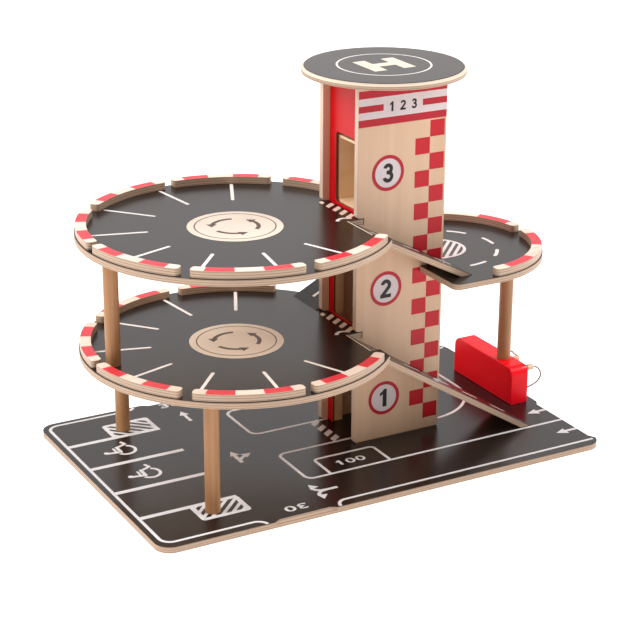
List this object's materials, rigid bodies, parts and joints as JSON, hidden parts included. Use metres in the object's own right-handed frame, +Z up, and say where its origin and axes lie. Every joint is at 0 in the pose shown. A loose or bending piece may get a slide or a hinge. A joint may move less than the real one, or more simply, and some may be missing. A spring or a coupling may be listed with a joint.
{
  "type": "toy parking garage",
  "caption": "Wooden toy parking garage with round parking decks, a half-round side deck, ramps, a crank lift tower, a helicopter pad and a fuel pump with pull-out nozzles",
  "frame": {"origin": "middle of the base board's underside", "axes": "+X along the front edge to the right, +Y to the back, +Z up"},
  "size_m": [0.6244, 0.38, 0.4762],
  "materials": {
    "laminate": "plywood with a satin dark grey laminate on top and bare edges",
    "panel_wood": "clear satin lacquer",
    "beech": "turned, clear satin lacquer",
    "curb_wood": "bare wood with red printed patches on top",
    "red_paint": "satin red paint on wood",
    "pale_wood": "bare plywood and pine",
    "cord": "grey braided cord",
    "steel": "zinc plated"
  },
  "bodies": {
    "garage": {"base_board": "laminate", "lower_deck": "laminate", "upper_deck": "laminate", "side_deck": "laminate", "helipad": "laminate", "upper_ramp": "laminate", "lower_ramp": "laminate", "back_ramp": "laminate", "front_panel": "panel_wood", "back_panel": "panel_wood", "left_wall": "red_paint", "right_wall": "red_paint", "pump_block": "red_paint", "front_post": "beech", "back_post": "beech", "upper_post": "beech", "pump_post": "beech", "lower_curb_back": "curb_wood", "lower_curb_back_left": "curb_wood", "lower_curb_left_back": "curb_wood", "lower_curb_left_front": "curb_wood", "lower_curb_front_left": "curb_wood", "lower_curb_front_right": "curb_wood", "upper_curb_back": "curb_wood", "upper_curb_back_left": "curb_wood", "upper_curb_left_back": "curb_wood", "upper_curb_left_front": "curb_wood", "upper_curb_front_left": "curb_wood", "upper_curb_front_right": "curb_wood", "upper_curb_tower": "curb_wood", "side_curb_front": "curb_wood", "side_curb_back": "curb_wood", "front_left_strip": "pale_wood", "back_left_strip": "pale_wood", "front_right_strip": "pale_wood", "back_right_strip": "pale_wood", "hose_1": "cord", "hose_2": "cord", "screw_1": "steel", "screw_2": "steel", "screw_3": "steel", "screw_4": "steel", "screw_5": "steel", "screw_6": "steel", "screw_7": "steel", "screw_8": "steel"},
    "lift_car": {"lift_floor": "pale_wood", "lift_roof": "pale_wood", "lift_front_side": "pale_wood", "lift_back_side": "pale_wood", "lift_end": "pale_wood", "lift_bead": "beech", "lift_cord": "cord"},
    "lift_winch": {"winch_axle": "beech", "winch_drum": "pale_wood", "winch_crank": "beech", "crank_knob": "red_paint"},
    "nozzle_1": {"nozzle_1": "beech"},
    "nozzle_2": {"nozzle_2": "beech"}
  },
  "joints": [
    {"name": "lift_slide", "type": "slide", "parent": "garage", "child": "lift_car", "axis": [0, 0, -1], "range_m": [0, 0.2965], "deforming": ["lift_cord"]},
    {"name": "winch_turn", "type": "hinge", "parent": "garage", "child": "lift_winch", "pos_m": [0.077, 0, 0.4272], "axis": [0, 1, 0], "range_deg": [0, 1700]},
    {"name": "nozzle_1_pull", "type": "slide", "parent": "garage", "child": "nozzle_1", "axis": [1, 0, 0], "range_m": [0, 0.014], "deforming": ["hose_1"]},
    {"name": "nozzle_2_pull", "type": "slide", "parent": "garage", "child": "nozzle_2", "axis": [1, 0, 0], "range_m": [0, 0.014], "deforming": ["hose_2"]}
  ],
  "couplings": [
    {"joint": "winch_turn", "follows": "lift_slide", "rad_per_m": 100}
  ]
}
